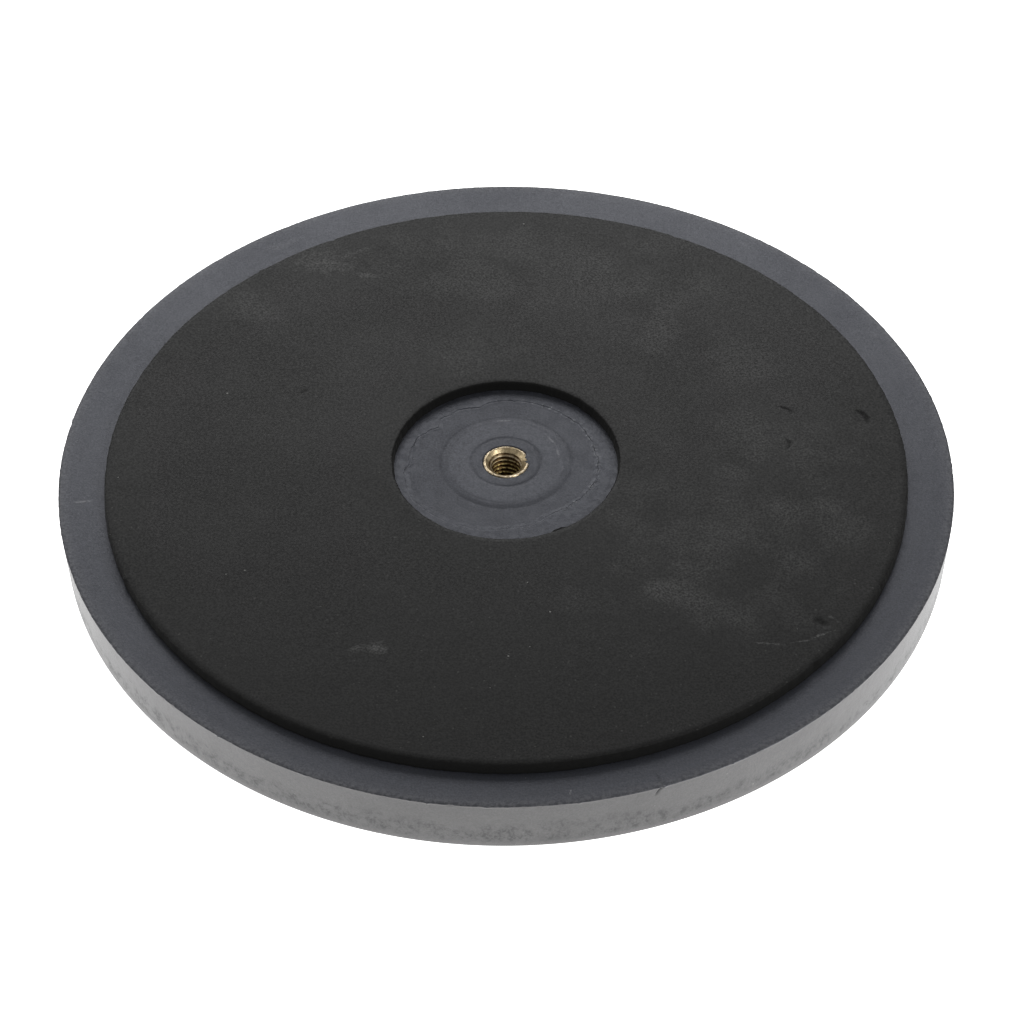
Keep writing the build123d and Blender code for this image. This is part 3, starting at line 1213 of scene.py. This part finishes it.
def build_foam_ring(settings):
    """A die-cut foam ring with crisp, ragged edges and the marks of handling on its skin."""
    skin = Skin()
    fine = settings.edge_points
    coarse = fine // 2
    roll = settings.edge_roll
    bottom, top = foam_low.z, foam_high.z - RELIEF_ROOM
    outside, hole = foam_high.x - RAGGED_ROOM, settings.hole_radius

    def ragged(turn, radius, seed):
        stray = round_unevenness(turn, radius, 0.5 * MM, seed + 6) * 0.6
        stray += round_unevenness(turn, radius, 0.9 * MM, seed) * 0.7
        stray += round_unevenness(turn, radius, 3.0 * MM, seed + 2) * 0.9
        stray += round_unevenness(turn, radius, 24 * MM, seed + 4) * 1.6
        return settings.raggedness * stray

    def hole_at(radius, height, sliver=0.0):
        """A ring of the hole's wall, where a sliver of cut foam hangs in on one side."""
        def place(turn):
            hanging = sliver * SLIVER_REACH * swell(turn, 297, 4.5, 1.3)
            return radius - ragged(turn, radius, 1.0) - hanging, height
        return place

    def outside_at(radius, height, share):
        """A ring of the outer cut, which leans most at the front and back; share is 1 at its top."""
        def place(turn):
            stray = ragged(turn, radius, 11.0) + share * flaws_at(FOAM_NICKS, turn, radius)
            upright = share * settings.edge_lean * 0.75 * cos(turn) ** 2
            return radius + stray + upright, height
        return place

    for height, sliver in ((0.0, 0.0), (0.5, 0.1), (1.1, 0.5), (1.5, 0.9), (1.75, 1.0), (1.9, 0.2)):
        radius = hole - HOLE_LEAN * (1 - height * MM / (top - bottom))
        place = hole_at(radius, bottom + height * MM, sliver)
        skin.ring(coarse, place, wear=1.0, shift=settings.hole_shift)
    steps = 3
    for step in range(steps + 1):
        angle = pi / 2 * step / steps
        radius = hole + 0.05 * MM + roll * (1 - cos(angle))
        height = top - roll * (1 - sin(angle))
        cut = 1.0 - smooth_step(step / steps)
        skin.ring(coarse, hole_at(radius, height), wear=cut, shift=settings.hole_shift)
    start = hole + 0.05 * MM + roll
    end = outside - settings.edge_lean - roll
    count = round((end - start) / (1.0 * MM))
    for index in range(1, count):
        share = index / count
        radius = start + (end - start) * share
        shift = settings.hole_shift + (settings.shift - settings.hole_shift) * share
        skin.ring(coarse if radius < COARSE_REACH else fine, circle(radius, top), shift=shift)
    for step in range(steps + 1):
        angle = pi / 2 * step / steps
        place = outside_at(end + roll * sin(angle), top - roll * (1 - cos(angle)), 1.0)
        skin.ring(fine, place, wear=smooth_step(step / steps), shift=settings.shift)
    for share in (0.25, 0.5, 0.75, 1.0):
        radius = outside - settings.edge_lean * (1 - share)
        height = top - roll - (top - roll - bottom) * share
        skin.ring(fine, outside_at(radius, height, 1 - share), wear=1.0, shift=settings.shift)
    skin.ring(coarse, circle(0.5 * (outside + hole), bottom), shift=settings.shift)
    skin.close()

    presses = [
        (Vector((x * MM, y * MM, top)), (length / 2 + 1.2) * MM) for x, y, length, *_ in FOAM_PRESSES
    ]
    refine(skin.mesh, presses)
    for point in skin.mesh.verts:
        x, y, z = point.co
        share = smooth_step((z - bottom) / (top - bottom))
        relief = 0.028 * MM * unevenness(x, y, 0.0, 28 * MM, 1.5)
        relief += 0.012 * MM * unevenness(x, y, 0.0, 6 * MM, 2.5)
        pressed = press_depth(x, y)
        point.co.z += share * (relief - pressed)
        # Painted shade in the pressed marks, darker where they are deeper
        point[skin.dirt] = share * min(0.28, pressed / (0.90 * MM))
    return skin.piece("foam_ring_cut", radians(50))


# Brass insert ----

# One pitch of the thread: share of the pitch, share of the thread's depth
THREAD_PROFILE = (
    (0.0, 0.0), (0.125, 0.0), (0.19, 0.21), (0.28, 0.5), (0.37, 0.79), (0.4375, 1.0),
    (0.5, 1.0), (0.5625, 1.0), (0.63, 0.79), (0.72, 0.5), (0.81, 0.21), (0.875, 0.0),
)
# Lean of the countersink's wall from the axis
COUNTERSINK = radians(50)


def thread_depth(share):
    """Share of the thread's depth at a share of its pitch."""
    share %= 1.0
    points = THREAD_PROFILE + ((1.0, 0.0),)
    for (start, low), (end, high) in zip(points, points[1:]):
        if start <= share <= end:
            return low + (high - low) * (share - start) / (end - start)


def lay_thread(mesh, settings, count, mouth_radius, top, floor):
    """Lays the threaded bore: rows that climb with the thread, cut off at mouth and floor."""
    pitch = settings.thread_pitch
    minor_radius = settings.minor_radius
    depth = settings.thread_radius - minor_radius
    slope = tan(COUNTERSINK)
    rows_per_turn = len(THREAD_PROFILE)
    turns = int((top - floor) / pitch) + 3
    wear = mesh.verts.layers.float["edge_wear"]
    dirt = mesh.verts.layers.float["dirt"]

    def point_at(step, row):
        turn = step / count
        thread, place = divmod(row, rows_per_turn)
        start = floor - 2 * pitch + pitch * (thread + THREAD_PROFILE[place][0])
        height = min(max(start + pitch * turn, floor), top)
        share = (height - floor) / pitch - turn
        radius = minor_radius + depth * thread_depth(share)
        cone = mouth_radius - (top - height) * slope
        in_thread = radius > cone
        radius = max(radius, cone)
        angle = tau * turn
        made = mesh.verts.new((radius * cos(angle), radius * sin(angle), height))
        if in_thread:
            made[wear] = smooth_step(1 - 2.0 * thread_depth(share))
            made[dirt] = 0.75 * smooth_step(1.4 * thread_depth(share))
        return made

    rows = turns * rows_per_turn
    columns = [[point_at(step, row) for row in range(rows)] for step in range(count)]
    for step, left in enumerate(columns):
        right = columns[(step + 1) % count]
        shift = rows_per_turn if step + 1 == count else 0
        for row in range(rows - 1 - shift):
            corners = (left[row], left[row + 1], right[row + 1 + shift], right[row + shift])
            mesh.faces.new(corners)


def build_brass_insert(settings):
    """The insert: knurled outside, nibbled lip, countersink and a true helical thread."""
    skin = Skin()
    count = 480
    bore_count = count // 3
    top = insert_high.z - 0.06 * MM
    body = settings.body_radius
    mouth = body - settings.lip

    def nibbled(radius, height, reach, seed):
        def place(turn):
            bite = round_unevenness(turn, radius, 0.50 * MM, seed)
            bite += 0.7 * round_unevenness(turn, radius, 1.7 * MM, seed + 3)
            dip = 0.06 * MM * round_unevenness(turn, radius, 0.7 * MM, seed + 5)
            return radius + reach * MM * bite, height + dip
        return place

    skin.ring(bore_count, circle(mouth, top))
    skin.ring(count, nibbled(mouth + 0.09 * MM, top + 0.01 * MM, 0.05, 1.0), wear=0.8)
    skin.ring(count, nibbled(mouth + 0.22 * MM, top + 0.03 * MM, 0.05, 2.0), wear=1.0)
    skin.ring(count, nibbled(body - 0.26 * MM, top + 0.01 * MM, 0.07, 3.0), wear=1.0)
    skin.ring(count, nibbled(body - 0.10 * MM, top - 0.08 * MM, 0.08, 4.0), wear=0.7)
    # Painted shade where the insert goes into the rubber
    skin.ring(count, circle(body, top - 0.30 * MM), dirt=0.6)
    lay_outline(skin, settings, count, 0.0)
    skin.ring(count // 4, circle(2 * MM, insert_low.z))
    skin.tip(insert_low.z)

    lay_thread(skin.mesh, settings, bore_count, mouth, top, thread_floor)
    bmesh.ops.remove_doubles(skin.mesh, verts=skin.mesh.verts[:], dist=0.002 * MM)
    bmesh.ops.dissolve_degenerate(skin.mesh, edges=skin.mesh.edges[:], dist=0.001 * MM)
    skin.mesh.edges.ensure_lookup_table()
    floor_edges = [
        edge for edge in skin.mesh.edges
        if edge.is_boundary and all(abs(end.co.z - thread_floor) < 0.01 * MM for end in edge.verts)
    ]
    bmesh.ops.contextual_create(skin.mesh, geom=floor_edges)
    return skin.piece("brass_insert_threaded", radians(35))


# Stage ----

# Softboxes aimed at the pad: name, place, width, height, and the setting that gives the power
SOFTBOXES = (
    ("back softbox", (-0.03, 0.50, 0.38), 0.60, 0.30, "back_light"),
    ("side softbox", (0.55, -0.30, 0.55), 0.25, 0.25, "side_light"),
    ("low reflector", (-0.70, 0.05, 0.18), 0.50, 0.30, "low_light"),
)


def build_floor(settings):
    """A plain pale table top that gives light from below; from underneath it isn't seen."""
    skin = Skin()
    height = -0.1 * MM
    skin.tip(height)
    for radius in (0.2, 0.8, 6.0):
        skin.ring(96, circle(radius, height))
    floor = skin.piece("floor", closed=False)
    for face in floor.data.polygons:
        if face.normal.z < 0:
            floor.data.flip_normals()
            break
    made, tree, shader = new_material("pale table")
    shader.inputs["Base Color"].default_value = (0.86, 0.86, 0.86, 1.0)
    shader.inputs["Roughness"].default_value = 0.9
    shader.inputs["Specular IOR Level"].default_value = 0.0
    shader.inputs["Emission Color"].default_value = (1.0, 1.0, 1.0, 1.0)
    shader.inputs["Emission Strength"].default_value = settings.floor_glow
    clear = tree.nodes.new("ShaderNodeBsdfTransparent")
    under = tree.nodes.new("ShaderNodeNewGeometry").outputs["Backfacing"]
    mixed = add_node(tree, "ShaderNodeMixShader", {0: under, 1: shader.outputs[0], 2: clear.outputs[0]})
    output = next(node for node in tree.nodes if node.type == "OUTPUT_MATERIAL")
    tree.links.new(mixed.outputs[0], output.inputs["Surface"])
    floor.data.materials.append(made)


def build_world(settings):
    """Even light from the whole room."""
    world = bpy.data.worlds.new("studio")
    world.use_nodes = True
    background = world.node_tree.nodes["Background"]
    background.inputs["Color"].default_value = (1.0, 1.0, 1.0, 1.0)
    background.inputs["Strength"].default_value = settings.room_light
    bpy.context.scene.world = world


def build_softbox(name, place, width, height, power):
    """A rectangular softbox that faces the pad."""
    light = bpy.data.lights.new(name, "AREA")
    light.shape = "RECTANGLE"
    light.size = width
    light.size_y = height
    light.energy = power
    box = bpy.data.objects.new(name, light)
    box.location = place
    box.rotation_euler = (-Vector(place)).to_track_quat("-Z", "Y").to_euler()
    box.visible_camera = False
    bpy.context.scene.collection.objects.link(box)


def build_camera(settings):
    """The camera, in front of the pad and about as far above it, looking down at its middle."""
    data = bpy.data.cameras.new("camera")
    data.lens = settings.camera_lens
    data.sensor_width = 36.0
    camera = bpy.data.objects.new("camera", data)
    place, aim = Vector(settings.camera_place), Vector(settings.camera_aim)
    facing = (aim - place).to_track_quat("-Z", "Y").to_matrix().to_4x4()
    roll = Matrix.Rotation(settings.camera_roll, 4, "Z")
    camera.matrix_world = Matrix.Translation(place) @ facing @ roll
    bpy.context.scene.collection.objects.link(camera)
    bpy.context.scene.camera = camera


# Operators ----


class PAD_OT_build_rubber_body(bpy.types.Operator):
    """Build the moulded rubber body"""

    bl_idname = "pad.build_rubber_body"
    bl_label = "Rubber Body"

    def execute(self, context):
        settings = context.scene.pad_rubber
        piece = build_rubber_body(settings, context.scene.pad_insert)
        declare(
            piece, "rubber_disc", "moulded_rubber", moulded_rubber(settings), bloomed_rubber(settings))
        return {"FINISHED"}


class PAD_OT_build_adhesive_film(bpy.types.Operator):
    """Build the film of dried adhesive under the foam"""

    bl_idname = "pad.build_adhesive_film"
    bl_label = "Adhesive Film"

    def execute(self, context):
        settings = context.scene.pad_foam
        piece = build_adhesive_film(settings)
        declare(piece, "adhesive_film", "dried_adhesive", dried_adhesive(settings))
        return {"FINISHED"}


class PAD_OT_build_foam_ring(bpy.types.Operator):
    """Build the die-cut foam ring"""

    bl_idname = "pad.build_foam_ring"
    bl_label = "Foam Ring"

    def execute(self, context):
        settings = context.scene.pad_foam
        piece = build_foam_ring(settings)
        declare(piece, "foam_ring", "black_foam", black_foam(settings))
        return {"FINISHED"}


class PAD_OT_build_brass_insert(bpy.types.Operator):
    """Build the brass insert with its thread"""

    bl_idname = "pad.build_brass_insert"
    bl_label = "Brass Insert"

    def execute(self, context):
        settings = context.scene.pad_insert
        piece = build_brass_insert(settings)
        declare(piece, "threaded_insert", "brass", machined_brass(settings))
        return {"FINISHED"}


class PAD_OT_build_stage(bpy.types.Operator):
    """Build the floor, the lights and the camera"""

    bl_idname = "pad.build_stage"
    bl_label = "Stage"

    def execute(self, context):
        settings = context.scene.pad_stage
        build_floor(settings)
        build_world(settings)
        for name, place, width, height, power in SOFTBOXES:
            build_softbox(name, place, width, height, getattr(settings, power))
        build_camera(settings)
        if context.scene.camera is None or context.scene.world is None:
            raise RuntimeError("the stage has no camera or no light")
        context.scene.view_settings.view_transform = "Standard"
        return {"FINISHED"}


OPERATORS = (
    PAD_OT_build_rubber_body,
    PAD_OT_build_adhesive_film,
    PAD_OT_build_foam_ring,
    PAD_OT_build_brass_insert,
    PAD_OT_build_stage,
)


class PAD_PT_sidebar(bpy.types.Panel):
    """Lists the pad's pieces and their sizes"""

    bl_idname = "PAD_PT_sidebar"
    bl_label = "Practice Pad"
    bl_space_type = "VIEW_3D"
    bl_region_type = "UI"
    bl_category = "Practice Pad"

    def draw(self, context):
        for operator in OPERATORS:
            self.layout.operator(operator.bl_idname)
        for name in SETTINGS:
            box = self.layout.box()
            group = getattr(context.scene, name)
            for prop in group.bl_rna.properties:
                if prop.identifier not in {"rna_type", "name"}:
                    box.prop(group, prop.identifier)


SETTINGS = {
    "pad_rubber": PadRubberSettings,
    "pad_foam": PadFoamSettings,
    "pad_insert": PadInsertSettings,
    "pad_stage": PadStageSettings,
}


def register():
    for settings in SETTINGS.values():
        bpy.utils.register_class(settings)
    for operator in OPERATORS:
        bpy.utils.register_class(operator)
    bpy.utils.register_class(PAD_PT_sidebar)
    for name, settings in SETTINGS.items():
        setattr(bpy.types.Scene, name, PointerProperty(type=settings))


def unregister():
    for name in SETTINGS:
        delattr(bpy.types.Scene, name)
    bpy.utils.unregister_class(PAD_PT_sidebar)
    for operator in reversed(OPERATORS):
        bpy.utils.unregister_class(operator)
    for settings in reversed(SETTINGS.values()):
        bpy.utils.unregister_class(settings)


def main():
    """Registers the add-on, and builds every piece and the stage."""
    register()
    bpy.ops.pad.build_rubber_body()
    bpy.ops.pad.build_adhesive_film()
    bpy.ops.pad.build_foam_ring()
    bpy.ops.pad.build_brass_insert()
    bpy.ops.pad.build_stage()


if __name__ == "__main__":
    main()
